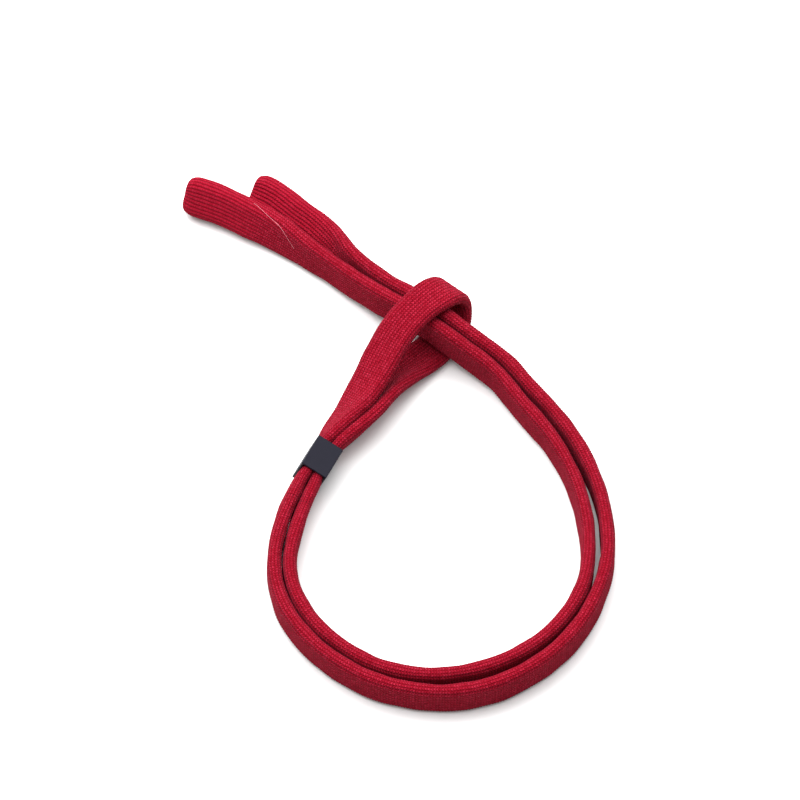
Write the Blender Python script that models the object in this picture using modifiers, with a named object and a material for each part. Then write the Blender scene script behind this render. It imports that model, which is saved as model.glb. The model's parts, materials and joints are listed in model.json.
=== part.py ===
"""Eyeglass retainer strap with a sliding keeper, lying closed as a running noose.

One flat knitted tube, 10 mm wide, is doubled. Its two ends are open pockets that
grip the temple arms. The doubled strap passes through a small rectangular sleeve
(the slider), its bight is laid round the two free runs, and the runs lead out to
the pockets. The strap stands on its narrow edge round the loop, and turns its
broad face up at the noose and at the pockets.

Frame: metres, +Z up. The origin is the centre of the footprint on the table.
+X points to the loop's right, and +Y points from the loop towards the pockets.
"""
import math

import bmesh
import bpy
import numpy as np
from mathutils import Matrix, Vector

MM = 0.001

# ---------------------------------------------------------------- dimensions, mm
STRAP_W = 10.0            # width of the flat tube
STRAP_T = 3.4             # its thickness between the pockets
CORNER_R = 1.0            # rounding of the folded edges
SQUEEZED_W = 7.9          # the strap where the slider grips it, and along its travel
SQUEEZED_T = 2.35
STRAND_GAP = 0.25         # between the two strands in the slider
SETTLE = 0.10             # the lowest part of the strap is pressed flat on the table
CUT = 0.30                # gap between neighbouring lengths of the strap
HINGE_GAP = 0.65          # half of the gap left at the two bending places

SLIDER_LENGTH = 8.8       # along the strap
SLIDER_WIDTH = 7.0        # across the two strands
SLIDER_DEPTH = 9.8        # along the strap's width
SLIDER_WALL = 0.60
SLIDER_ROUND = 0.35
SLIDER_ROLL = -17.0       # its top leans towards the inside of the loop
SLIDER_TRAVEL = 8.0       # down the doubled strap, along its gentle arc
TRAVEL_RADIUS = 100.0     # of that arc

POCKET_WALL = 1.35        # knitted wall with its folded edge
POCKET_SLIT = 1.9         # the relaxed mouth
POCKET_DEPTH = 20.0       # how deep a temple arm goes

FOOTPRINT_CENTRE = (-1.16, -12.79)   # of the laid-out strap, moved to the origin

CRIMSON = (0.42, 0.012, 0.045, 1.0)
SLATE = (0.038, 0.042, 0.060, 1.0)

# ---------------------------------------------------------------- the lay of the strap
# The doubled run, from the slider round the loop to the noose:
# x, y, lift off the table, lean of outer and inner strand (deg), gap between them
SLIDER_AT = (-19.9, -21.0)
SLIDER_HEADING = (-0.468, -0.884)
THIN_BELOW = SLIDER_LENGTH / 2 + SLIDER_TRAVEL + 0.6      # thin stretch below the slider's middle
THIN_ABOVE = SLIDER_LENGTH / 2 + 0.6
THIN_ROWS = (-THIN_ABOVE, 0.0, 4.6, 9.2, THIN_BELOW)
DOUBLED = [
    (-27.1, -39.6, 0.15, -8, -8, 0.50),
    (-28.3, -48.2, 0.00, -2, -2, 0.30),
    (-27.4, -55.8, 0.00, 0, 0, 0.35),
    (-23.2, -65.0, 0.00, 0, 0, 0.35),
    (-16.0, -72.8, 0.00, 0, 0, 0.40),
    (-7.1, -78.6, 0.00, 0, 0, 0.50),
    (2.9, -81.6, 0.00, 0, 0, 0.80),
    (13.3, -81.8, 0.00, 0, 0, 1.40),
    (23.4, -79.1, 0.00, 0, 0, 1.40),
    (32.3, -74.0, 0.00, 0, 0, 1.00),
    (39.7, -66.8, 0.00, 0, 0, 0.70),
    (44.9, -57.8, 0.00, 0, 0, 0.50),
    (47.3, -47.7, 0.00, 1, 2, 1.10),
    (47.1, -38.0, 0.00, 2, 5, 1.55),
    (45.7, -30.2, 0.00, 2, 5, 1.40),
    (43.2, -22.8, 0.00, 1, 3, 1.20),
    (39.4, -15.1, 0.00, 0, 0, 1.20),
    (34.8, -8.3, 0.00, 0, 0, 1.10),
    (29.5, -1.6, 0.20, 0, 0, 0.80),
    (24.7, 4.4, 0.70, 0, 0, 0.50),
    (17.7, 9.8, 2.20, 0, 0, 0.40),
    (10.8, 15.0, 3.40, 0, 0, 0.40),
    (4.3, 19.9, 3.50, 2, 2, 0.40),
    (-2.4, 24.6, 2.50, 3, 3, 0.45),
]
# The free ends, from the noose out to the pocket mouths:
# x, y, lift, lean (deg), width, thickness
REAR_END = [
    (-8.3, 32.3, 1.2, 4, 10.0, 3.4),
    (-13.1, 36.8, 0.5, 16, 10.0, 3.4),
    (-16.9, 41.2, 0.2, 40, 10.0, 3.7),
    (-21.9, 46.2, 0.1, 52, 10.0, 4.2),
    (-26.9, 50.5, 0.0, 52, 9.8, 4.8),
    (-31.1, 54.2, 0.0, 51, 9.7, 5.0),
    (-36.3, 57.1, 0.0, 50, 10.0, 5.0),
]
FRONT_END = [
    (-10.5, 28.6, 1.2, 3, 10.0, 3.4),
    (-17.3, 34.4, 0.4, 4, 10.0, 3.4),
    (-23.2, 39.2, 0.1, 9, 10.0, 3.6),
    (-29.4, 44.1, 0.0, 20, 10.0, 4.2),
    (-36.3, 48.3, 0.0, 34, 9.9, 4.8),
    (-43.6, 52.3, 0.0, 38, 10.0, 5.2),
    (-52.9, 56.0, 0.0, 37, 10.2, 5.2),
]
# The noose, from the slider over the two runs, down behind them and back under:
# x, y, z, direction of the strap's upper edge, width, thickness
NOOSE = [
    (-17.6, -13.7, 6.5, (0.42, -0.26, 0.87), 9.0, 2.5),
    (-13.1, -7.8, 7.0, (0.58, -0.36, 0.73), 9.8, 3.0),
    (-8.8, -2.3, 8.7, (0.76, -0.48, 0.44), 10.0, 3.1),
    (-4.4, 5.2, 11.3, (0.82, -0.53, 0.18), 9.6, 3.3),
    (-0.1, 12.1, 14.0, (0.80, -0.59, 0.00), 9.3, 3.2),
    (5.2, 17.9, 15.4, (0.75, -0.66, 0.00), 9.5, 3.0),
    (9.5, 21.6, 14.9, (0.77, -0.63, -0.02), 10.0, 3.0),
    (12.9, 24.5, 9.0, (0.80, -0.60, 0.00), 10.0, 3.0),
    (12.7, 21.1, 2.6, (0.80, -0.60, 0.00), 10.0, 2.9),
    (9.8, 15.7, 1.5, (0.79, -0.61, 0.00), 10.0, 2.6),
    (5.2, 10.5, 2.0, (0.77, -0.63, 0.10), 10.0, 2.8),
    (0.1, 4.6, 3.3, (0.66, -0.52, 0.50), 10.0, 3.2),
    (-4.1, -2.8, 5.0, (0.42, -0.30, 0.85), 10.0, 3.1),
    (-8.9, -9.9, 5.2, (0.32, -0.18, 0.93), 9.8, 2.9),
    (-14.8, -15.7, 5.4, (0.28, -0.15, 0.95), 9.0, 2.5),
]


# ---------------------------------------------------------------- geometry helpers
def unit(v):
    v = np.array(v, float)
    return v / np.linalg.norm(v)


def half_height(w, t, roll):
    """Height of the strap's centre over its lowest point, at a given lean."""
    a = math.radians(roll)
    r = CORNER_R
    return (w / 2 - r) * abs(math.cos(a)) + (t / 2 - r) * abs(math.sin(a)) + r


def lean_frame(heading, roll):
    """Direction of the strap's upper edge, and its outward side, for a lean to the right of the heading."""
    hx, hy = heading
    a = math.radians(roll)
    right = np.array([hy, -hx, 0.0])
    up = np.array([0.0, 0.0, 1.0])
    return math.sin(a) * right + math.cos(a) * up, math.cos(a) * right - math.sin(a) * up


def heading_between(a, b):
    d = np.array([b[0] - a[0], b[1] - a[1]])
    return d / np.linalg.norm(d)


def doubled_stations():
    """Centres of the outer and the inner strand from the slider to the noose."""
    head = unit(SLIDER_HEADING)
    rows = []
    for k in THIN_ROWS:
        a = max(k, 0.0) / TRAVEL_RADIUS
        along, inward = math.sin(a) * TRAVEL_RADIUS, (1 - math.cos(a)) * TRAVEL_RADIUS
        along += min(k, 0.0)
        rows.append((SLIDER_AT[0] + head[0] * along - head[1] * inward,
                     SLIDER_AT[1] + head[1] * along + head[0] * inward, 0.0,
                     SLIDER_ROLL, SLIDER_ROLL, STRAND_GAP, SQUEEZED_W, SQUEEZED_T))
    for x, y, lift, lean_out, lean_in, gap in DOUBLED:
        rows.append((x, y, lift, lean_out, lean_in, gap, STRAP_W, STRAP_T))
    outer, inner = [], []
    for i, (x, y, lift, lean_out, lean_in, gap, w, t) in enumerate(rows):
        before, after = rows[max(i - 1, 0)], rows[min(i + 1, len(rows) - 1)]
        heading = heading_between(before, after)
        if i < len(THIN_ROWS):
            a = max(THIN_ROWS[i], 0.0) / TRAVEL_RADIUS
            heading = math.cos(a) * head[:2] + math.sin(a) * np.array([-head[1], head[0]])
        for out, lean, side in ((outer, lean_out, 1), (inner, lean_in, -1)):
            edge, outward = lean_frame(heading, lean)
            offset = side * outward * (t / 2 + gap / 2)
            if i < len(THIN_ROWS):      # both strands share the slider's height
                z = SLIDER_DEPTH / 2 * math.cos(math.radians(lean)) \
                    + SLIDER_WIDTH / 2 * abs(math.sin(math.radians(lean))) + 0.03
                centre = np.array([x, y, z]) + offset
            else:
                centre = np.array([x, y, 0.0]) + offset
                centre[2] = lift + half_height(w, t, lean)
            out.append((*centre, *edge, w, t))
    return outer, inner


def end_stations(rows, last):
    """Centres of a free end, whose first heading comes from the last doubled station."""
    out, track = [], [last] + list(rows)
    for i, (x, y, lift, lean, w, t) in enumerate(rows):
        heading = heading_between(track[i], track[min(i + 2, len(track) - 1)])
        edge, _ = lean_frame(heading, lean)
        out.append((x, y, lift + half_height(w, t, lean), *edge, w, t))
    return out


def natural_spline(knots, values, at):
    """Natural cubic spline through values at knots, read at the parameters at."""
    n = len(knots)
    values = np.asarray(values, float)
    h = np.diff(knots)
    a = np.zeros((n, n))
    b = np.zeros_like(values)
    a[0, 0] = a[-1, -1] = 1.0
    for i in range(1, n - 1):
        a[i, i - 1], a[i, i], a[i, i + 1] = h[i - 1], 2 * (h[i - 1] + h[i]), h[i]
        b[i] = 6 * ((values[i + 1] - values[i]) / h[i] - (values[i] - values[i - 1]) / h[i - 1])
    m = np.linalg.solve(a, b)
    k = np.clip(np.searchsorted(knots, at) - 1, 0, n - 2)
    hk = h[k][:, None]
    u = ((knots[k + 1] - at) / h[k])[:, None]
    v = ((at - knots[k]) / h[k])[:, None]
    return u * values[k] + v * values[k + 1] + ((u ** 3 - u) * m[k] + (v ** 3 - v) * m[k + 1]) * hk ** 2 / 6


class Strap:
    """The strap's centreline by arc length, with its edge direction and section at each place."""

    def __init__(self, stations):
        self.c = np.array(stations, float)
        steps = np.linalg.norm(np.diff(self.c[:, :3], axis=0), axis=1)
        self.knots = np.concatenate([[0.0], np.cumsum(steps)])
        self.fine = np.linspace(0, self.knots[-1], int(self.knots[-1] / 0.2) + 2)
        p = natural_spline(self.knots, self.c[:, :3], self.fine)
        self.arc = np.concatenate([[0.0], np.cumsum(np.linalg.norm(np.diff(p, axis=0), axis=1))])
        self.points = p
        self.length = self.arc[-1]

    def at_station(self, i):
        """Arc length at station i."""
        return float(np.interp(self.knots[i], self.fine, self.arc))

    def frame(self, s):
        """Point, tangent, edge direction, side direction, width and thickness at arc lengths s."""
        s = np.asarray(s, float)
        t = np.interp(s, self.arc, self.fine)
        p = natural_spline(self.knots, self.c[:, :3], t)
        ahead = natural_spline(self.knots, self.c[:, :3], np.clip(t + 0.3, 0, self.knots[-1]))
        back = natural_spline(self.knots, self.c[:, :3], np.clip(t - 0.3, 0, self.knots[-1]))
        tangent = ahead - back
        tangent /= np.linalg.norm(tangent, axis=1)[:, None]
        edge = np.zeros_like(p)
        for shift in np.linspace(-3.0, 3.0, 7):      # the twist is eased over 6 mm
            weight = 1.0 - abs(shift) / 4.0
            edge += weight * np.stack([np.interp(t + shift, self.knots, self.c[:, 3 + i]) for i in range(3)], 1)
        edge -= tangent * (edge * tangent).sum(1)[:, None]
        edge /= np.linalg.norm(edge, axis=1)[:, None]
        side = np.cross(tangent, edge)
        w = np.interp(t, self.knots, self.c[:, 6])
        th = np.interp(t, self.knots, self.c[:, 7])
        return p, tangent, edge, side, w, th


def section(w, t, r, per_corner=2):
    """Rounded rectangle: w along the edge direction, t along the side direction."""
    r = min(r, 0.48 * t, 0.48 * w)
    out = []
    for cw, ct, start in ((1, 1, 0), (-1, 1, 90), (-1, -1, 180), (1, -1, 270)):
        for k in range(per_corner + 1):
            a = math.radians(start + 90 * k / per_corner)
            out.append((cw * (w / 2 - r) + r * math.cos(a), ct * (t / 2 - r) + r * math.sin(a)))
    return out


def make_object(name, bm, material, collection, origin=(0, 0, 0), smooth=True):
    """Puts a bmesh, in world millimetres, into a named object whose origin is at origin."""
    origin = Vector(origin)
    bmesh.ops.recalc_face_normals(bm, faces=bm.faces)
    for v in bm.verts:
        v.co = (v.co - origin) * MM
    mesh = bpy.data.meshes.new(name)
    bm.to_mesh(mesh)
    bm.free()
    mesh.materials.append(material)
    if smooth:
        mesh.shade_smooth()
        mesh.set_sharp_from_angle(angle=math.radians(40))
    obj = bpy.data.objects.new(name, mesh)
    obj.location = origin * MM
    collection.objects.link(obj)
    return obj


def loft(rings):
    """A closed solid through equal rings of points, with a flat cap at each end."""
    bm = bmesh.new()
    made = [[bm.verts.new(tuple(p)) for p in ring] for ring in rings]
    count = len(rings[0])
    for a, b in zip(made, made[1:]):
        for j in range(count):
            k = (j + 1) % count
            bm.faces.new((a[j], a[k], b[k], b[j]))
    bm.faces.new(made[0])
    bm.faces.new(list(reversed(made[-1])))
    return bm


def ring_at(strap, s, w=None, t=None, r=CORNER_R):
    p, _, edge, side, ws, ts = strap.frame([s])
    w = ws[0] if w is None else w
    t = ts[0] if t is None else t
    points = [p[0] - CENTRE + u * edge[0] + v * side[0] for u, v in section(w, t, r)]
    for q in points:          # nothing sinks into the table, and what lies on it lies flat
        if q[2] < SETTLE:
            q[2] = 0.0
    return points


def strap_length(strap, name, s0, s1, step, material, collection, origin=(0, 0, 0)):
    """One length of the filled strap between two places."""
    n = max(2, int(round((s1 - s0) / step)))
    rings = [ring_at(strap, s0 + (s1 - s0) * i / n) for i in range(n + 1)]
    return make_object(name, loft(rings), material, collection, origin)


def pocket(strap, name, mouth, base, material, collection, origin=(0, 0, 0)):
    """A knitted pocket: a flat tube, shut at its base and open as a slit at its rounded mouth."""
    way = 1.0 if base > mouth else -1.0
    length = abs(base - mouth)
    place = lambda d: mouth + way * d
    full = lambda d: strap.frame([place(d)])[4:]
    outer, inner = [], []
    for d in (length, 20.5, 16.0, 12.0, 8.0, 5.0, 3.2, 1.8, 0.8, 0.0):
        if d > length:
            continue
        w, t = (x[0] for x in full(d))
        shrink = math.sqrt(max(0.0, 1.0 - (1.0 - min(d, 2.6) / 2.6) ** 2))   # rounded end
        outer.append(ring_at(strap, place(d), w * (0.74 + 0.26 * shrink), t * (0.74 + 0.26 * shrink), 0.46 * t))
    for d in (0.0, 1.2, 3.5, 8.0, 13.0, POCKET_DEPTH):
        w, t = (x[0] for x in full(d))
        open_w = (w - 2 * POCKET_WALL) * (0.78 if d < 1.0 else 1.0) * (0.8 if d == POCKET_DEPTH else 1.0)
        inner.append(ring_at(strap, place(d), open_w, POCKET_SLIT, 0.8))
    return make_object(name, loft(outer + inner), material, collection, origin)


def principled(name, color, roughness, metallic=0.0):
    m = bpy.data.materials.new(name)
    m.use_nodes = True
    b = m.node_tree.nodes["Principled BSDF"]
    b.inputs["Base Color"].default_value = color
    b.inputs["Roughness"].default_value = roughness
    b.inputs["Metallic"].default_value = metallic
    m.diffuse_color = color
    return m


# ---------------------------------------------------------------- build
for old in list(bpy.data.objects):
    bpy.data.objects.remove(old)

CENTRE = np.array([FOOTPRINT_CENTRE[0], FOOTPRINT_CENTRE[1], 0.0])
scene_root = bpy.context.scene.collection
parts = bpy.data.collections.new("eyeglass_retainer_strap")
cutters = bpy.data.collections.new("cutters")
scene_root.children.link(parts)
scene_root.children.link(cutters)

outer, inner = doubled_stations()
rear = end_stations(REAR_END, DOUBLED[-1])
front = end_stations(FRONT_END, DOUBLED[-1])
noose = [(x, y, z, *unit(e), w, t) for x, y, z, e, w, t in NOOSE]
stations = rear[::-1] + outer[::-1] + noose + inner + front
strap = Strap(stations)

N_END, N_RUN, N_NOOSE = len(rear), len(outer), len(noose)
OUT0 = N_END                           # outer strand at the noose
OUT1 = N_END + N_RUN - 1               # outer strand in the slider
NOO0 = OUT1 + 1
IN0 = NOO0 + N_NOOSE                   # inner strand in the slider
IN1 = IN0 + N_RUN - 1                  # inner strand at the noose
S = strap.at_station

# where each length of the strap begins and ends
s_rear_base = 24.8
s_front_base = strap.length - 24.8
s_rear_bend = S(N_END - 1)
s_front_bend = S(IN1 + 1)
s_slider_out = S(OUT1 - 1)
s_slider_in = S(IN0 + 1)


def colour_of(i):
    """A slightly different crimson for each length, so that they can be told apart."""
    k = 0.80 + 0.05 * (i % 7)
    return (CRIMSON[0] * k, CRIMSON[1] * k, CRIMSON[2] * k, 1.0)


rear_pivot = strap.frame([s_rear_bend])[0][0] - CENTRE
front_pivot = strap.frame([s_front_bend])[0][0] - CENTRE
rear_pivot[2] = front_pivot[2] = 0.0

lengths = [
    # name, from, to, ring spacing, origin
    ("rear_end_strap", s_rear_base + CUT / 2, s_rear_bend - HINGE_GAP, 2.6, rear_pivot),
    ("outer_strand_under_noose", s_rear_bend + HINGE_GAP, S(OUT0 + 3) - CUT / 2, 3.2, (0, 0, 0)),
    ("outer_strand_upper_right", S(OUT0 + 3) + CUT / 2, S(OUT0 + 9) - CUT / 2, 4.0, (0, 0, 0)),
    ("outer_strand_right", S(OUT0 + 9) + CUT / 2, S(OUT0 + 14) - CUT / 2, 4.0, (0, 0, 0)),
    ("outer_strand_bottom", S(OUT0 + 14) + CUT / 2, S(OUT0 + 19) - CUT / 2, 4.0, (0, 0, 0)),
    ("outer_strand_left", S(OUT0 + 19) + CUT / 2, s_slider_out - THIN_BELOW - CUT / 2, 3.6, (0, 0, 0)),
    ("outer_strand_in_slider", s_slider_out - THIN_BELOW + CUT / 2, s_slider_out + THIN_ABOVE - CUT / 2, 6.0, (0, 0, 0)),
    ("noose_over_strand", s_slider_out + THIN_ABOVE + CUT / 2, S(NOO0 + 4) - CUT / 2, 3.0, (0, 0, 0)),
    ("noose_bend", S(NOO0 + 4) + CUT / 2, S(NOO0 + 9) - CUT / 2, 1.9, (0, 0, 0)),
    ("noose_under_strand", S(NOO0 + 9) + CUT / 2, s_slider_in - THIN_ABOVE - CUT / 2, 3.0, (0, 0, 0)),
    ("inner_strand_in_slider", s_slider_in - THIN_ABOVE + CUT / 2, s_slider_in + THIN_BELOW - CUT / 2, 6.0, (0, 0, 0)),
    ("inner_strand_left", s_slider_in + THIN_BELOW + CUT / 2, S(IN1 - 19) - CUT / 2, 3.6, (0, 0, 0)),
    ("inner_strand_bottom", S(IN1 - 19) + CUT / 2, S(IN1 - 14) - CUT / 2, 4.0, (0, 0, 0)),
    ("inner_strand_right", S(IN1 - 14) + CUT / 2, S(IN1 - 9) - CUT / 2, 4.0, (0, 0, 0)),
    ("inner_strand_upper_right", S(IN1 - 9) + CUT / 2, S(IN1 - 3) - CUT / 2, 4.0, (0, 0, 0)),
    ("inner_strand_under_noose", S(IN1 - 3) + CUT / 2, s_front_bend - HINGE_GAP, 3.2, (0, 0, 0)),
    ("front_end_strap", s_front_bend + HINGE_GAP, s_front_base - CUT / 2, 2.6, front_pivot),
]
made = {}
for i, (name, s0, s1, step, origin) in enumerate(lengths):
    made[name] = strap_length(strap, name, s0, s1, step,
                              principled(name + "_knit", colour_of(i), 0.85), parts, origin)
made["rear_pocket"] = pocket(strap, "rear_pocket", 0.0, s_rear_base - CUT / 2,
                             principled("rear_pocket_knit", colour_of(2), 0.85), parts, rear_pivot)
made["front_pocket"] = pocket(strap, "front_pocket", strap.length, s_front_base + CUT / 2,
                              principled("front_pocket_knit", colour_of(5), 0.85), parts, front_pivot)

# the free ends swing about upright axes just outside the noose
for label, pivot in (("rear_end_axis", rear_pivot), ("front_end_axis", front_pivot)):
    empty = bpy.data.objects.new(label, None)
    empty.empty_display_size = 0.01
    empty.location = Vector(pivot) * MM
    parts.objects.link(empty)
    for name in (label.replace("end_axis", "end_strap"), label.replace("end_axis", "pocket")):
        made[name].parent = empty
        made[name].location = (0, 0, 0)

# the slider: a rectangular sleeve, cut from a block by its bore, edges rounded
head = unit(SLIDER_HEADING)
edge, outward = lean_frame(head, SLIDER_ROLL)
centre = np.array([SLIDER_AT[0], SLIDER_AT[1], doubled_stations()[0][0][2]])
centre[2] = SLIDER_DEPTH / 2 * math.cos(math.radians(SLIDER_ROLL)) \
    + SLIDER_WIDTH / 2 * abs(math.sin(math.radians(SLIDER_ROLL))) + 0.03
centre -= CENTRE
turn = Matrix((Vector((head[0], head[1], 0.0)), Vector(outward), Vector(edge))).transposed().to_4x4()


def block(name, size, collection):
    bm = bmesh.new()
    bmesh.ops.create_cube(bm, size=1.0)
    bmesh.ops.scale(bm, vec=Vector(size) * MM, verts=bm.verts)
    mesh = bpy.data.meshes.new(name)
    bm.to_mesh(mesh)
    bm.free()
    obj = bpy.data.objects.new(name, mesh)
    obj.matrix_world = Matrix.Translation(Vector(centre) * MM) @ turn
    collection.objects.link(obj)
    return obj


slider = block("slider", (SLIDER_LENGTH, SLIDER_WIDTH, SLIDER_DEPTH), parts)
slider.data.materials.append(principled("slider_plastic", SLATE, 0.42))
bore = block("slider_bore_cutter", (SLIDER_LENGTH * 1.5, SLIDER_WIDTH - 2 * SLIDER_WALL,
                                    SLIDER_DEPTH - 2 * SLIDER_WALL), cutters)
bore.hide_render = True
bore.display_type = "WIRE"
cut = slider.modifiers.new("bore", "BOOLEAN")
cut.operation = "DIFFERENCE"
cut.solver = "EXACT"
cut.object = bore
soften = slider.modifiers.new("rounded_edges", "BEVEL")
soften.width = SLIDER_ROUND * MM / 2
soften.segments = 2
soften.limit_method = "ANGLE"
soften.angle_limit = math.radians(40)
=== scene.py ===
"""Visual model of the eyeglass retainer strap: rib-knitted tube doubled through a moulded sleeve."""
import json
import math

import bmesh
import bpy
import numpy as np
from mathutils import Euler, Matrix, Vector
from mathutils.bvhtree import BVHTree

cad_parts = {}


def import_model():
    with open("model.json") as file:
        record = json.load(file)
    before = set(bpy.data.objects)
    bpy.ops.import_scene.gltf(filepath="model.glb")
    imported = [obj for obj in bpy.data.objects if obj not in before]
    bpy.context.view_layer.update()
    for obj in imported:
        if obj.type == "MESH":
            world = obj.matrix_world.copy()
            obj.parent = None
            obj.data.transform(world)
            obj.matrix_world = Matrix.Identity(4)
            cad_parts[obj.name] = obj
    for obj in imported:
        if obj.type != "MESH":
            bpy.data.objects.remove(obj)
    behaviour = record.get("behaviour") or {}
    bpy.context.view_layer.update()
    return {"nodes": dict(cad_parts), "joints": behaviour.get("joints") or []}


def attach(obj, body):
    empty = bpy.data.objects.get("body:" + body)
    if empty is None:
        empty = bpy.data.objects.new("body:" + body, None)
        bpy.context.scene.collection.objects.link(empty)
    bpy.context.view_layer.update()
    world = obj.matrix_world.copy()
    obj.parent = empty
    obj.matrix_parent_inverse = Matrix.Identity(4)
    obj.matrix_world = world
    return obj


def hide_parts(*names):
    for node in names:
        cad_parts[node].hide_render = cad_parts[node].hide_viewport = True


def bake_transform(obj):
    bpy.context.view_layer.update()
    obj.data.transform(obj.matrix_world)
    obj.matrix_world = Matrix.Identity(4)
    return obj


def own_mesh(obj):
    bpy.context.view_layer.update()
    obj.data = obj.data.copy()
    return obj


MM = 0.001

# ------------------------------------------------------------------ camera, first
CX, CY = -1.16, -12.79                     # footprint centre of the laid-out strap, mm
cam_data = bpy.data.cameras.new("camera")
cam_data.type = "PERSP"
cam_data.lens = 300.0
cam_data.sensor_width = 36.0
cam_data.clip_start = 0.1
cam_data.clip_end = 20.0
camera = bpy.data.objects.new("camera", cam_data)
bpy.context.scene.collection.objects.link(camera)
ELEVATION = math.radians(60.0)
AWAY = 300.0 * (800.0 / 4.1) / 36.0         # mm, so that 4.1 px is 1 mm
camera.location = (-CX * MM, -CY * MM - AWAY * MM * math.cos(ELEVATION), AWAY * MM * math.sin(ELEVATION))
camera.rotation_euler = Euler((math.radians(90.0) - ELEVATION, 0.0, 0.0))
bpy.context.scene.camera = camera
bpy.context.scene.view_settings.view_transform = "Standard"

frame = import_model()

# ------------------------------------------------------------------ the lay of the strap (as in the CAD source)
CORNER_R = 1.0
SLIDER_AT = (-19.9, -21.0)
SLIDER_HEADING = (-0.468, -0.884)
SLIDER_LENGTH, SLIDER_WIDTH, SLIDER_DEPTH, SLIDER_ROLL = 8.8, 7.0, 9.8, -17.0
TRAVEL_RADIUS = 100.0
# below the slider's middle, mm: width, thickness of one strand, gap between the strands
THIN_ROWS = ((-5.0, 8.4, 2.72, 0.12), (0.0, 8.4, 2.72, 0.10), (4.4, 8.4, 2.75, 0.10),
             (6.0, 8.3, 3.15, 0.12), (9.4, 8.3, 3.20, 0.20), (13.0, 8.35, 3.25, 0.25))
DOUBLED = [
    (-27.1, -39.6, 0.15, -8, -8, 0.50),
    (-28.3, -48.2, 0.00, -2, -2, 0.30),
    (-27.4, -55.8, 0.00, 0, 0, 0.35),
    (-23.2, -65.0, 0.00, 0, 0, 0.35),
    (-16.0, -72.8, 0.00, 0, 0, 0.40),
    (-7.1, -78.6, 0.00, 0, 0, 0.50),
    (2.9, -81.6, 0.00, 0, 0, 0.80),
    (13.3, -81.8, 0.00, 0, 0, 1.40),
    (23.4, -79.1, 0.00, 0, 0, 1.40),
    (32.3, -74.0, 0.00, 0, 0, 1.00),
    (39.7, -66.8, 0.00, 0, 0, 0.70),
    (44.9, -57.8, 0.00, 0, 0, 0.50),
    (47.3, -47.7, 0.00, 0, 2, 1.30),
    (47.1, -38.0, 0.00, -1, 4, 1.65),
    (45.7, -30.2, 0.00, -3, 3, 1.75),
    (43.2, -22.8, 0.00, -2, 2, 1.60),
    (39.4, -15.1, 0.00, 0, 0, 1.20),
    (34.8, -8.3, 0.00, 0, 0, 1.10),
    (29.5, -1.6, 0.20, 0, 0, 0.80),
    (24.7, 4.4, 0.70, 0, 0, 0.50),
    (17.7, 9.8, 2.20, 0, 0, 0.40),
    (10.8, 15.0, 3.40, 0, 0, 0.40),
    (4.3, 19.9, 3.50, 2, 2, 0.40),
    (-2.4, 24.6, 2.50, 3, 3, 0.45),
]
# rows of DOUBLED where the knit lies slimmer: thickness of the outer and of the inner strand
SLIM = {12: (3.4, 3.3), 13: (3.3, 3.15), 14: (3.3, 3.1), 15: (3.3, 3.1), 16: (3.4, 3.3)}
REAR_END = [
    (-8.3, 32.3, 1.2, 4, 10.0, 3.4),
    (-13.1, 36.8, 0.5, 16, 10.0, 3.4),
    (-16.9, 41.2, 0.2, 40, 10.0, 3.7),
    (-21.9, 46.2, 0.1, 52, 10.0, 4.2),
    (-26.9, 50.5, 0.0, 52, 9.8, 4.8),
    (-31.1, 54.2, 0.0, 51, 9.7, 5.0),
    (-36.3, 57.1, 0.0, 50, 10.0, 5.0),
]
FRONT_END = [
    (-10.5, 28.6, 1.2, 3, 10.0, 3.4),
    (-17.3, 34.4, 0.4, 4, 10.0, 3.4),
    (-23.2, 39.2, 0.1, 9, 10.0, 3.6),
    (-29.4, 44.1, 0.0, 20, 10.0, 4.2),
    (-36.3, 48.3, 0.0, 34, 9.9, 4.8),
    (-43.6, 52.3, 0.0, 38, 10.0, 5.2),
    (-52.9, 56.0, 0.0, 37, 10.2, 5.2),
]
NOOSE = [
    (-17.4, -13.9, 6.5, (0.42, -0.26, 0.87), 9.0, 3.1),
    (-12.9, -7.9, 7.0, (0.58, -0.36, 0.73), 9.8, 3.4),
    (-8.8, -2.3, 8.7, (0.76, -0.48, 0.44), 10.0, 3.2),
    (-4.45, 5.25, 11.3, (0.82, -0.53, 0.18), 9.55, 3.3),
    (-0.15, 12.15, 14.0, (0.80, -0.59, 0.00), 9.15, 3.2),
    (5.2, 17.9, 15.4, (0.75, -0.66, 0.00), 9.5, 3.0),
    (9.5, 21.6, 14.9, (0.77, -0.63, -0.02), 10.0, 3.0),
    (12.9, 24.5, 9.0, (0.80, -0.60, 0.00), 10.0, 3.0),
    (12.7, 21.1, 2.6, (0.80, -0.60, 0.00), 10.0, 2.9),
    (9.85, 15.7, 1.5, (0.79, -0.61, 0.00), 9.9, 2.7),
    (5.25, 10.45, 2.0, (0.77, -0.63, 0.10), 9.85, 2.9),
    (0.1, 4.6, 3.3, (0.66, -0.52, 0.50), 10.0, 3.2),
    (-4.1, -2.8, 5.0, (0.42, -0.30, 0.85), 10.0, 3.2),
    (-9.2, -9.7, 5.2, (0.32, -0.18, 0.93), 9.8, 3.5),
    (-15.0, -15.6, 5.4, (0.28, -0.15, 0.95), 9.0, 3.1),
]


def unit(v):
    v = np.array(v, float)
    return v / np.linalg.norm(v)


def half_height(w, t, roll):
    a = math.radians(roll)
    r = CORNER_R
    return (w / 2 - r) * abs(math.cos(a)) + (t / 2 - r) * abs(math.sin(a)) + r


def lean_frame(heading, roll):
    hx, hy = heading[0], heading[1]
    a = math.radians(roll)
    right = np.array([hy, -hx, 0.0])
    up = np.array([0.0, 0.0, 1.0])
    return math.sin(a) * right + math.cos(a) * up, math.cos(a) * right - math.sin(a) * up


def heading_between(a, b):
    d = np.array([b[0] - a[0], b[1] - a[1]])
    return d / np.linalg.norm(d)


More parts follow.
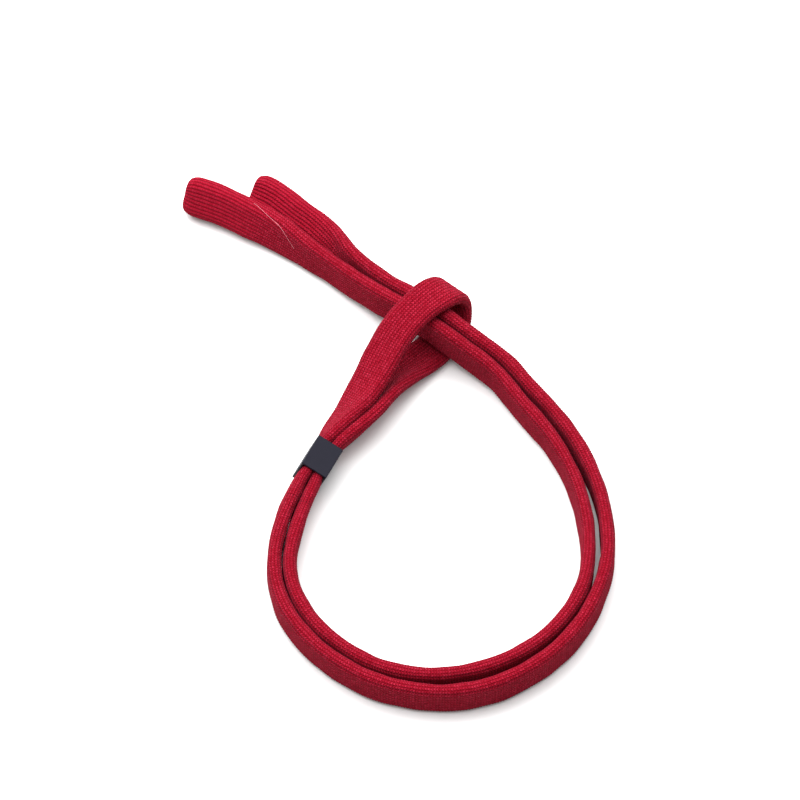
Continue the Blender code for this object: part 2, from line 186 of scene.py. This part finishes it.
def slider_height():
    return SLIDER_DEPTH / 2 * math.cos(math.radians(SLIDER_ROLL)) \
        + SLIDER_WIDTH / 2 * abs(math.sin(math.radians(SLIDER_ROLL))) + 0.03


def doubled_stations():
    head = unit(SLIDER_HEADING)
    rows = []
    for k, w, t, gap in THIN_ROWS:
        a = max(k, 0.0) / TRAVEL_RADIUS
        along, inward = math.sin(a) * TRAVEL_RADIUS, (1 - math.cos(a)) * TRAVEL_RADIUS
        along += min(k, 0.0)
        rows.append((SLIDER_AT[0] + head[0] * along - head[1] * inward,
                     SLIDER_AT[1] + head[1] * along + head[0] * inward, 0.0,
                     SLIDER_ROLL, SLIDER_ROLL, gap, w, t))
    for x, y, lift, lean_out, lean_in, gap in DOUBLED:
        rows.append((x, y, lift, lean_out, lean_in, gap, 10.0, 3.4))
    outer, inner = [], []
    thin = len(THIN_ROWS)
    for i, (x, y, lift, lean_out, lean_in, gap, w, t) in enumerate(rows):
        before, after = rows[max(i - 1, 0)], rows[min(i + 1, len(rows) - 1)]
        heading = heading_between(before, after)
        if i < thin:
            a = max(THIN_ROWS[i][0], 0.0) / TRAVEL_RADIUS
            heading = math.cos(a) * head[:2] + math.sin(a) * np.array([-head[1], head[0]])
        slim = SLIM.get(i - thin, (t, t))
        for out, lean, side, t in ((outer, lean_out, 1, slim[0]), (inner, lean_in, -1, slim[1])):
            edge, outward = lean_frame(heading, lean)
            centre = np.array([x, y, slider_height() if i < thin else 0.0]) + side * outward * (t / 2 + gap / 2)
            if i >= thin:
                centre[2] = lift + half_height(w, t, lean)
            out.append((*centre, *edge, w, t))
    return outer, inner


def end_stations(rows, last):
    out, track = [], [last] + list(rows)
    for i, (x, y, lift, lean, w, t) in enumerate(rows):
        heading = heading_between(track[i], track[min(i + 2, len(track) - 1)])
        edge, _ = lean_frame(heading, lean)
        out.append((x, y, lift + half_height(w, t, lean), *edge, w, t))
    return out


def natural_spline(knots, values, at):
    n = len(knots)
    values = np.asarray(values, float)
    h = np.diff(knots)
    a = np.zeros((n, n))
    b = np.zeros_like(values)
    a[0, 0] = a[-1, -1] = 1.0
    for i in range(1, n - 1):
        a[i, i - 1], a[i, i], a[i, i + 1] = h[i - 1], 2 * (h[i - 1] + h[i]), h[i]
        b[i] = 6 * ((values[i + 1] - values[i]) / h[i] - (values[i] - values[i - 1]) / h[i - 1])
    m = np.linalg.solve(a, b)
    k = np.clip(np.searchsorted(knots, at) - 1, 0, n - 2)
    hk = h[k][:, None]
    u = ((knots[k + 1] - at) / h[k])[:, None]
    v = ((at - knots[k]) / h[k])[:, None]
    return u * values[k] + v * values[k + 1] + ((u ** 3 - u) * m[k] + (v ** 3 - v) * m[k + 1]) * hk ** 2 / 6


class Strap:
    """The strap's centreline by arc length, with its edge direction and section at each place."""

    def __init__(self, stations):
        self.c = np.array(stations, float)
        steps = np.linalg.norm(np.diff(self.c[:, :3], axis=0), axis=1)
        self.knots = np.concatenate([[0.0], np.cumsum(steps)])
        self.fine = np.linspace(0, self.knots[-1], int(self.knots[-1] / 0.2) + 2)
        p = natural_spline(self.knots, self.c[:, :3], self.fine)
        self.arc = np.concatenate([[0.0], np.cumsum(np.linalg.norm(np.diff(p, axis=0), axis=1))])
        self.length = self.arc[-1]

    def at_station(self, i):
        return float(np.interp(self.knots[i], self.fine, self.arc))

    def frame(self, s):
        s = np.asarray(s, float)
        t = np.interp(s, self.arc, self.fine)
        p = natural_spline(self.knots, self.c[:, :3], t)
        ahead = natural_spline(self.knots, self.c[:, :3], np.clip(t + 0.3, 0, self.knots[-1]))
        back = natural_spline(self.knots, self.c[:, :3], np.clip(t - 0.3, 0, self.knots[-1]))
        tangent = ahead - back
        tangent /= np.linalg.norm(tangent, axis=1)[:, None]
        edge = np.zeros_like(p)
        for shift in np.linspace(-3.0, 3.0, 7):
            weight = 1.0 - abs(shift) / 4.0
            edge += weight * np.stack([np.interp(t + shift, self.knots, self.c[:, 3 + i]) for i in range(3)], 1)
        edge -= tangent * (edge * tangent).sum(1)[:, None]
        edge /= np.linalg.norm(edge, axis=1)[:, None]
        side = np.cross(tangent, edge)
        w = np.interp(t, self.knots, self.c[:, 6])
        th = np.interp(t, self.knots, self.c[:, 7])
        return p, tangent, edge, side, w, th


outer, inner = doubled_stations()
rear = end_stations(REAR_END, DOUBLED[-1])
front = end_stations(FRONT_END, DOUBLED[-1])
noose = [(x, y, z, *unit(e), w, t) for x, y, z, e, w, t in NOOSE]
strap = Strap(rear[::-1] + outer[::-1] + noose + inner + front)
N_END, N_RUN, N_NOOSE = len(rear), len(outer), len(noose)
OUT1 = N_END + N_RUN - 1
IN0 = OUT1 + 1 + N_NOOSE
IN1 = IN0 + N_RUN - 1
S = strap.at_station
LENGTH = strap.length
S_OUT, S_IN = S(OUT1 - 1), S(IN0 + 1)              # the slider's middle on each strand
CENTRE = np.array([CX, CY, 0.0])
TABLE = 0.02                                       # mm, the knit's lowest stitches over the table


def world(p_mm):
    return tuple(float(v) * MM for v in p_mm)


# ------------------------------------------------------------------ knitted surface
WALES = 28                 # columns of stitches round the tube
PER_WALE = 3
AROUND = WALES * PER_WALE
STITCH = 0.68              # mm along the strap
RING_STEP = 0.34


def outline(w, t, r, n):
    """n places evenly spaced round a rounded rectangle, from the middle of its upper edge, with outward normals."""
    r = min(r, 0.49 * t)
    fw, ft = w - 2 * r, t - 2 * r                  # flat stretches
    arc = math.pi / 2 * r
    total = 2 * fw + 2 * ft + 4 * arc
    pts, nor = [], []
    for k in range(n):
        d = total * k / n
        for length, kind in ((ft / 2, 0), (arc, 1), (fw, 2), (arc, 3), (ft, 4), (arc, 5), (fw, 6), (arc, 7), (ft / 2 + 1e-9, 8)):
            if d <= length:
                break
            d -= length
        h, q = w / 2, t / 2
        if kind in (0, 8):
            v = d if kind == 0 else -ft / 2 + d
            pts.append((h, v)); nor.append((1, 0))
        elif kind == 1:
            a = d / r; pts.append((h - r + r * math.cos(a), q - r + r * math.sin(a))); nor.append((math.cos(a), math.sin(a)))
        elif kind == 2:
            pts.append((h - r - d, q)); nor.append((0, 1))
        elif kind == 3:
            a = d / r; pts.append((-h + r - r * math.sin(a), q - r + r * math.cos(a))); nor.append((-math.sin(a), math.cos(a)))
        elif kind == 4:
            pts.append((-h, q - r - d)); nor.append((-1, 0))
        elif kind == 5:
            a = d / r; pts.append((-h + r - r * math.cos(a), -q + r - r * math.sin(a))); nor.append((-math.cos(a), -math.sin(a)))
        elif kind == 6:
            pts.append((-h + r + d, -q)); nor.append((0, -1))
        else:
            a = d / r; pts.append((h - r + r * math.sin(a), -q + r - r * math.cos(a))); nor.append((math.sin(a), -math.cos(a)))
    return np.array(pts), np.array(nor)


def smooth01(x):
    x = np.clip(x, 0.0, 1.0)
    return x * x * (3 - 2 * x)


def pocket_share(s):
    """1 at the pocket ends, where the tube is stretched open and its ribs stand out, 0 along the run."""
    d = min(s, LENGTH - s)
    return float(1.0 - smooth01((d - 14.0) / 16.0))


def relief(s, share, ring_index, squeeze):
    """Height of the knit over its mean surface round one ring, mm."""
    k = np.arange(AROUND)
    wale = (k % PER_WALE) / PER_WALE
    ridge = np.sin(np.pi * wale)                        # 0 in the groove between two columns
    amp = (0.040 + 0.085 * share) * squeeze
    stitch = np.cos(2 * np.pi * (s / STITCH) + np.where((k // PER_WALE) % 2 == 0, 0.0, np.pi) * 0.35)
    h = amp * (ridge - 0.85) + (0.055 - 0.02 * share) * stitch * (0.55 + 0.45 * ridge) * squeeze
    fold = np.zeros(AROUND)
    for c in (WALES * 0 + 2, WALES // 2 - 2, WALES // 2 + 2, WALES - 2):
        d = np.abs(k / PER_WALE - c)
        fold += np.exp(-(d / 0.45) ** 2)
    h -= 0.07 * fold * (1 - share) * squeeze
    soft = 0.045 * math.sin(s * 0.61 + 1.3) + 0.035 * math.sin(s * 0.237 + 0.4)      # uneven tension
    lump = 0.030 * np.sin(2 * np.pi * k / AROUND * 3 + s * 0.42) + 0.022 * np.sin(2 * np.pi * k / AROUND * 5 - s * 0.93)
    return h + (soft + lump) * squeeze


def knit_rings(s_values, w_scale=None, t_scale=None, round_r=1.55, squeeze=1.0, offset=0.0):
    p, tan, edge, side, w, th = strap.frame(s_values)
    rings = []
    for i, s in enumerate(s_values):
        ws = w[i] * (1 if w_scale is None else w_scale[i])
        ts = th[i] * (1 if t_scale is None else t_scale[i])
        share = pocket_share(s)
        r = round_r + (0.46 * ts - round_r) * share if th[i] > 3.45 else round_r
        pts, nor = outline(ws, ts, r, AROUND)
        near = min(abs(s - S_OUT), abs(s - S_IN))
        sq = squeeze * float(0.25 + 0.75 * smooth01((near - 4.6) / 2.5))
        h = relief(s, share, i, sq) + offset
        q = pts + nor * h[:, None]
        ring = p[i] - CENTRE + q[:, :1] * edge[i] + q[:, 1:] * side[i]
        ring[:, 2] = np.maximum(ring[:, 2], TABLE)
        rings.append(ring)
    return rings


def mesh_object(name, lofts, material):
    """lofts: list of (rings, s_values, shares). Each becomes one closed skin; corners carry the knit's own coordinates."""
    verts, faces, corner = [], [], []
    for rings, ss in lofts:
        base = len(verts)
        n = len(rings[0])
        for ring in rings:
            verts.extend((ring * MM).tolist())
        for i in range(len(rings) - 1):
            sa, sb = ss[i], ss[i + 1]
            pa, pb = pocket_share(sa), pocket_share(sb)
            for j in range(n):
                k = (j + 1) % n
                a, b = base + i * n, base + (i + 1) * n
                faces.append((a + j, a + k, b + k, b + j))
                u0, u1 = j / PER_WALE, (j + 1) / PER_WALE
                corner += [(u0, sa, pa), (u1, sa, pa), (u1, sb, pb), (u0, sb, pb)]
        for i, flip in ((0, False), (len(rings) - 1, True)):
            row = [base + i * n + j for j in range(n)]
            faces.append(tuple(reversed(row)) if not flip else tuple(row))
            corner += [((q - base - i * n) / PER_WALE, ss[i], pocket_share(ss[i])) for q in faces[-1]]
    mesh = bpy.data.meshes.new(name)
    mesh.from_pydata(verts, [], faces)
    att = mesh.attributes.new("knit", "FLOAT_VECTOR", "CORNER")
    att.data.foreach_set("vector", np.array(corner, np.float32).ravel())
    mesh.materials.append(material)
    mesh.shade_smooth()
    obj = bpy.data.objects.new(name, mesh)
    bpy.context.scene.collection.objects.link(obj)
    # all faces outward, without touching the corner order
    bm = bmesh.new()
    bm.from_mesh(mesh)
    if bm.calc_volume(signed=True) < 0:
        bmesh.ops.reverse_faces(bm, faces=bm.faces)
        bm.to_mesh(mesh)
    bm.free()
    return obj


def spaced(s0, s1, step=RING_STEP):
    n = max(2, int(round(abs(s1 - s0) / step)))
    return np.linspace(s0, s1, n + 1)


def pocket_end(mouth, way):
    """Rings of a pocket's rounded lip and of the slit inside it, from 6 mm before the mouth inwards."""
    d_out = np.concatenate([np.linspace(6.0, 2.2, 12)[:-1], np.linspace(2.2, 0.35, 9), [0.12, 0.0]])
    s_out = mouth + way * d_out
    shrink = np.sqrt(np.clip(1 - (1 - np.minimum(d_out, 3.3) / 3.3) ** 2, 0, 1))
    rings = knit_rings(s_out, w_scale=0.62 + 0.38 * shrink, t_scale=0.62 + 0.38 * shrink)
    # the slit: a flattened hollow, 20 mm deep
    p, tan, edge, side, w, th = strap.frame(mouth + way * np.array([0.05, 0.6, 1.6, 4.0, 8.0, 14.0, 20.0]))
    s_in, inner_rings = [], []
    for i, d in enumerate((0.05, 0.6, 1.6, 4.0, 8.0, 14.0, 20.0)):
        ow = (w[i] - 2.7) * (0.70, 0.76, 0.86, 1, 1, 1, 0.8)[i]
        pts, nor = outline(ow, (1.9, 1.5, 1.7, 1.9, 1.9, 1.8, 1.2)[i], 0.8, AROUND)
        inner_rings.append(p[i] - CENTRE + pts[:, :1] * edge[i] + pts[:, 1:] * side[i])
        s_in.append(mouth + way * d)
    return rings, list(s_out), inner_rings, s_in


# ------------------------------------------------------------------ materials
def nodes_of(mat):
    mat.use_nodes = True
    return mat.node_tree


class Graph:
    def __init__(self, mat):
        self.t = nodes_of(mat)
        self.bsdf = self.t.nodes["Principled BSDF"]

    def add(self, kind, **values):
        node = self.t.nodes.new(kind)
        for k, v in values.items():
            setattr(node, k, v)
        return node

    def link(self, a, b):
        self.t.links.new(a, b)

    def math(self, op, a, b=None, clamp=False):
        node = self.add("ShaderNodeMath", operation=op, use_clamp=clamp)
        for i, v in enumerate((a, b)):
            if v is None:
                continue
            if isinstance(v, (int, float)):
                node.inputs[i].default_value = v
            else:
                self.link(v, node.inputs[i])
        return node.outputs[0]

    def mix(self, fac, a, b, blend="MIX"):
        node = self.add("ShaderNodeMix", data_type="RGBA", blend_type=blend)
        for sock, v in ((node.inputs[0], fac), (node.inputs[6], a), (node.inputs[7], b)):
            if isinstance(v, (int, float)):
                sock.default_value = v
            elif isinstance(v, tuple):
                sock.default_value = v
            else:
                self.link(v, sock)
        return node.outputs[2]

    def noise(self, vector, scale, detail=3.0, rough=0.6):
        node = self.add("ShaderNodeTexNoise")
        node.inputs["Scale"].default_value = scale
        node.inputs["Detail"].default_value = detail
        node.inputs["Roughness"].default_value = rough
        self.link(vector, node.inputs["Vector"])
        return node.outputs["Fac"]


def knit_material():
    mat = bpy.data.materials.new("crimson_knit_yarn")
    g = Graph(mat)
    att = g.add("ShaderNodeAttribute", attribute_type="GEOMETRY", attribute_name="knit")
    sep = g.add("ShaderNodeSeparateXYZ")
    g.link(att.outputs["Vector"], sep.inputs[0])
    u, s, share = sep.outputs
    geo = g.add("ShaderNodeTexCoord").outputs["Object"]

    # wobble, so that no two stitches are alike
    wob = g.math("MULTIPLY", g.math("SUBTRACT", g.noise(geo, 700.0, 2.0), 0.5), 0.60)
    row = g.math("ADD", g.math("DIVIDE", s, STITCH), wob)
    uu = g.math("ADD", u, g.math("MULTIPLY", g.math("SUBTRACT", g.noise(geo, 520.0, 2.0), 0.5), 0.38))
    x = g.math("SUBTRACT", g.math("FRACT", uu), 0.5)                      # across one column
    ax = g.math("ABSOLUTE", x)
    column = g.math("SUBTRACT", 1.0, g.math("POWER", g.math("MULTIPLY", ax, 2.0), 2.4))      # ridge 1, groove 0
    phase = g.math("ADD", row, g.math("MULTIPLY", ax, 1.25))              # the two legs of each V
    leg = g.math("ADD", g.math("MULTIPLY", g.math("COSINE", g.math("MULTIPLY", phase, 2 * math.pi)), 0.5), 0.5)
    cell = g.add("ShaderNodeCombineXYZ")
    g.link(g.math("FLOOR", uu), cell.inputs[0])
    g.link(g.math("FLOOR", g.math("ADD", phase, 0.5)), cell.inputs[1])
    white = g.add("ShaderNodeTexWhiteNoise", noise_dimensions="3D")
    g.link(cell.outputs[0], white.inputs["Vector"])
    each = white.outputs["Value"]                                         # every stitch its own tension
    fibre = g.noise(geo, 4200.0, 3.0, 0.7)
    # along the run the rows stand out, in the pockets the columns do
    c1 = g.math("SUBTRACT", 1.0, g.math("MULTIPLY", g.math("SUBTRACT", 0.78, g.math("MULTIPLY", share, 0.12)), g.math("SUBTRACT", 1.0, column)))
    l1 = g.math("SUBTRACT", 1.0, g.math("MULTIPLY", g.math("SUBTRACT", 0.66, g.math("MULTIPLY", share, 0.36)), g.math("SUBTRACT", 1.0, leg)))
    tone = g.math("MULTIPLY", c1, l1)
    vary = g.math("SUBTRACT", 0.44, g.math("MULTIPLY", share, 0.22))
    tone = g.math("MULTIPLY", tone, g.math("ADD", g.math("SUBTRACT", 1.12, vary), g.math("MULTIPLY", each, vary)), clamp=True)
    height = g.math("ADD", g.math("MULTIPLY", tone, 1.15), g.math("MULTIPLY", fibre, 0.32))
    bump = g.add("ShaderNodeBump")
    bump.inputs["Strength"].default_value = 0.95
    bump.inputs["Distance"].default_value = 0.00026
    g.link(height, bump.inputs["Height"])
    g.link(bump.outputs[0], g.bsdf.inputs["Normal"])

    # the fold lines, two columns in from the middle of each edge: painted shade, a dotted dark line along each fold
    # crease, where the open stitches there fall in shade
    period = WALES / 2
    to_edge = g.math("ABSOLUTE", g.math("SUBTRACT", g.math("MODULO", g.math("ADD", u, period / 2), period), period / 2))
    line = g.math("SUBTRACT", 1.0, g.math("MULTIPLY", g.math("ABSOLUTE", g.math("SUBTRACT", to_edge, 2.0)), 2.0), clamp=True)
    dots = g.math("ADD", g.math("MULTIPLY", g.math("COSINE", g.math("MULTIPLY", row, 2 * math.pi)), 0.5), 0.5)
    fold = g.math("MULTIPLY", g.math("MULTIPLY", line, dots), g.math("SUBTRACT", 1.0, share))

    # painted shade: the first colour is a deep crimson painted into the grooves and between the stitches, where tone is
    # low; base is the yarn's own crimson
    painted_stitch_shade = (0.050, 0.0003, 0.0020, 1.0)
    base = (0.285, 0.0025, 0.0124, 1.0)
    # painted highlight: a paler pink painted onto the stitch crowns, where tone is high
    painted_stitch_highlight = (0.450, 0.028, 0.064, 1.0)
    # painted shade: low tone mixes the yarn towards the deep crimson
    col = g.mix(g.math("POWER", tone, 0.75), painted_stitch_shade, base)
    # painted highlight: high tone mixes the yarn towards the pale pink
    col = g.mix(g.math("MULTIPLY", g.math("POWER", tone, 3.5), g.math("SUBTRACT", 0.60, g.math("MULTIPLY", share, 0.30))), col, painted_stitch_highlight)
    # painted shade: in the pockets the grooves between the columns go near black
    painted_groove_shade = g.math("MULTIPLY", g.math("POWER", g.math("SUBTRACT", 1.0, column), 1.5), g.math("MULTIPLY", share, 0.42))
    col = g.mix(painted_groove_shade, col, (0.038, 0.0004, 0.0024, 1.0))
    # painted shade along the fold creases
    col = g.mix(g.math("MULTIPLY", fold, 0.60), col, (0.035, 0.0004, 0.0024, 1.0))
    heather = g.math("MULTIPLY", g.math("SUBTRACT", g.noise(geo, 1300.0, 3.0, 0.7), 0.50, clamp=True), 0.9)
    col = g.mix(heather, col, (0.410, 0.034, 0.068, 1.0))
    patch = g.math("MULTIPLY", g.noise(geo, 80.0, 3.0), 0.25)
    col = g.mix(patch, col, (0.145, 0.0017, 0.0085, 1.0))
    col = g.mix(g.math("MULTIPLY", share, 0.14), col, (0.100, 0.0014, 0.0068, 1.0))
    g.link(col, g.bsdf.inputs["Base Color"])
    g.bsdf.inputs["Roughness"].default_value = 0.92
    g.bsdf.inputs["Specular IOR Level"].default_value = 0.035
    g.bsdf.inputs["Sheen Weight"].default_value = 0.055
    g.bsdf.inputs["Sheen Roughness"].default_value = 0.40
    g.bsdf.inputs["Sheen Tint"].default_value = (1.0, 0.35, 0.55, 1.0)
    return mat


def slider_material():
    mat = bpy.data.materials.new("slate_moulded_sleeve")
    g = Graph(mat)
    geo = g.add("ShaderNodeTexCoord").outputs["Object"]
    grain = g.noise(geo, 2600.0, 4.0, 0.65)
    cloud = g.noise(geo, 210.0, 2.0)
    col = g.mix(g.math("MULTIPLY", cloud, 0.5), (0.0062, 0.0060, 0.0120, 1.0), (0.0085, 0.0082, 0.0155, 1.0))
    g.link(col, g.bsdf.inputs["Base Color"])
    g.bsdf.inputs["Specular IOR Level"].default_value = 0.09
    rough = g.math("ADD", 0.38, g.math("MULTIPLY", grain, 0.16))
    g.link(rough, g.bsdf.inputs["Roughness"])
    bump = g.add("ShaderNodeBump")
    bump.inputs["Strength"].default_value = 0.25
    bump.inputs["Distance"].default_value = 0.00005
    g.link(grain, bump.inputs["Height"])
    g.link(bump.outputs[0], g.bsdf.inputs["Normal"])
    return mat


def plain(name, color, rough):
    mat = bpy.data.materials.new(name)
    g = Graph(mat)
    g.bsdf.inputs["Base Color"].default_value = color
    g.bsdf.inputs["Roughness"].default_value = rough
    return mat


KNIT = knit_material()
SLEEVE = slider_material()

# ------------------------------------------------------------------ the knitted pieces
SEAM_UP, SEAM_DOWN = 4.0, 12.7      # mm below the slider's middle: both hidden in the slider at one of its limits


def tube(name, s0, s1, mouth=None):
    """The knit from s0 to s1; with mouth, s1 is a pocket's mouth and the skin turns in there."""
    if mouth is None:
        ss = spaced(s0, s1)
        return mesh_object(name, [(knit_rings(ss), list(ss))], KNIT)
    way = 1.0 if s0 > mouth else -1.0
    ss = spaced(s0, mouth + way * 6.0)[:-1]
    rings = knit_rings(ss)
    more, s_more, hole, s_hole = pocket_end(mouth, way)
    return mesh_object(name, [(rings + more + hole, list(ss) + s_more + s_hole)], KNIT)


outer_strand = tube("outer_strand_knit", S_OUT - SEAM_DOWN, 0.0, mouth=0.0)
inner_strand = tube("inner_strand_knit", S_IN + SEAM_DOWN, LENGTH, mouth=LENGTH)
noose_knit = tube("noose_knit", S_OUT - SEAM_UP, S_IN + SEAM_UP)
ss_out, ss_in = spaced(S_OUT - SEAM_DOWN, S_OUT - SEAM_UP), spaced(S_IN + SEAM_UP, S_IN + SEAM_DOWN)
travel_knit = mesh_object("knit_in_slider_travel", [(knit_rings(ss_out), list(ss_out)), (knit_rings(ss_in), list(ss_in))], KNIT)

# the CAD's own hinges, which hold where the free ends bend and how far they swing; here the free ends are only baked in
# place as they lie
joints = {j["name"]: j for j in frame["joints"]}


def station_point(s):
    return strap.frame([s])[0][0] - CENTRE


def bend_at(obj, s_bend, way):
    a, b = station_point(s_bend - way * 3.0), station_point(s_bend + way * 6.0)
    a[2] = b[2] = 0.0
    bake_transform(obj)


s_rear_bend, s_front_bend = S(N_END - 1), S(IN1 + 1)
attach(noose_knit, "loop")
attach(travel_knit, "loop")
bend_at(outer_strand, s_rear_bend, -1.0)
bend_at(inner_strand, s_front_bend, 1.0)

head = unit(SLIDER_HEADING)
edge_dir, out_dir = lean_frame(head, SLIDER_ROLL)
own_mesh(travel_knit)

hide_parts("outer_strand_left", "outer_strand_bottom", "outer_strand_right",
            "outer_strand_upper_right", "outer_strand_under_noose", "rear_end_strap", "rear_pocket")
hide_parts("inner_strand_left", "inner_strand_bottom", "inner_strand_right",
            "inner_strand_upper_right", "inner_strand_under_noose", "front_end_strap", "front_pocket")
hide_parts("noose_over_strand", "noose_bend", "noose_under_strand")
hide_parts("outer_strand_in_slider", "inner_strand_in_slider")


def route(s0, s1, step=3.0):
    n = max(8, int(abs(s1 - s0) / step))
    return [world(q - CENTRE) for q in strap.frame(np.linspace(s0, s1, n + 1))[0]]


def declare(s0, s1):
    path = route(s0, s1)


declare(S_OUT - SEAM_DOWN, 0.0)
declare(S_IN + SEAM_DOWN, LENGTH)
declare(S_OUT - SEAM_UP, S_IN + SEAM_UP)

# ------------------------------------------------------------------ the sleeve
slider = frame["nodes"]["slider"]
for slot in slider.material_slots:
    slot.material = SLEEVE

# a stray filament on the front pocket
thread_curve = bpy.data.curves.new("stray_filament", "CURVE")
thread_curve.dimensions = "3D"
thread_curve.bevel_depth = 0.036 * MM
thread_curve.bevel_resolution = 1
thread_curve.use_fill_caps = True
# its lay, x and y along the slanted line of sight on the table plane; each point is dropped onto the knit
THREAD = [(-36.0, 55.9), (-34.8, 54.8), (-33.1, 52.9), (-31.2, 50.9), (-29.5, 49.0), (-28.3, 46.9), (-27.2, 44.9), (-26.1, 42.9)]
surface = BVHTree.FromObject(inner_strand, bpy.context.evaluated_depsgraph_get())
slant = Vector((0.0, -math.cos(ELEVATION), math.sin(ELEVATION)))
knots = np.arange(len(THREAD), dtype=float)
laid = []
for x, y in natural_spline(knots, np.array(THREAD), np.linspace(0.0, len(THREAD) - 1.0, 60)):
    base_point = Vector(((x - CX) * MM, (y - CY) * MM, 0.0))
    hit, normal, _, _ = surface.ray_cast(base_point + slant * 0.1, -slant)
    if hit is not None:
        laid.append(np.array(hit + Vector((0, 0, 1)) * (0.22 * MM)))
laid = np.array(laid)
for _ in range(4):
    laid[1:-1] = 0.5 * laid[1:-1] + 0.25 * (laid[:-2] + laid[2:])
sp = thread_curve.splines.new("POLY")
sp.points.add(len(laid) - 1)
for point, q in zip(sp.points, laid):
    point.co = (*[float(v) for v in q], 1.0)
filament = bpy.data.objects.new("stray_filament", thread_curve)
bpy.context.scene.collection.objects.link(filament)
thread_curve.materials.append(plain("pale_filament", (0.62, 0.20, 0.24, 1.0), 0.6))
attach(filament, "front_end")

# ------------------------------------------------------------------ floor and light
bpy.ops.mesh.primitive_plane_add(size=6.0, location=(0, 0, 0))
floor = bpy.context.object
floor.name = "floor"
floor.data.materials.append(plain("pale_floor", (0.74, 0.74, 0.74, 1.0), 0.9))

scene_world = bpy.data.worlds.new("studio")
bpy.context.scene.world = scene_world
scene_world.use_nodes = True
background = scene_world.node_tree.nodes["Background"]
background.inputs["Color"].default_value = (1.0, 1.0, 1.0, 1.0)
background.inputs["Strength"].default_value = 0.24


def softbox(name, location, target, size, energy, color=(1, 1, 1)):
    data = bpy.data.lights.new(name, "AREA")
    data.shape = "DISK"
    data.size = size
    data.energy = energy
    data.color = color
    obj = bpy.data.objects.new(name, data)
    obj.location = location
    obj.rotation_euler = (Vector(target) - Vector(location)).to_track_quat("-Z", "Y").to_euler()
    bpy.context.scene.collection.objects.link(obj)
    return obj


softbox("key", (-0.18, 0.60, 1.00), (0, 0, 0), 1.8, 36.0)
softbox("overhead", (0.0, 0.15, 1.25), (0, 0, 0), 2.2, 31.0)
softbox("side", (-0.9, 0.0, 0.8), (0, 0, 0), 0.9, 3.0)
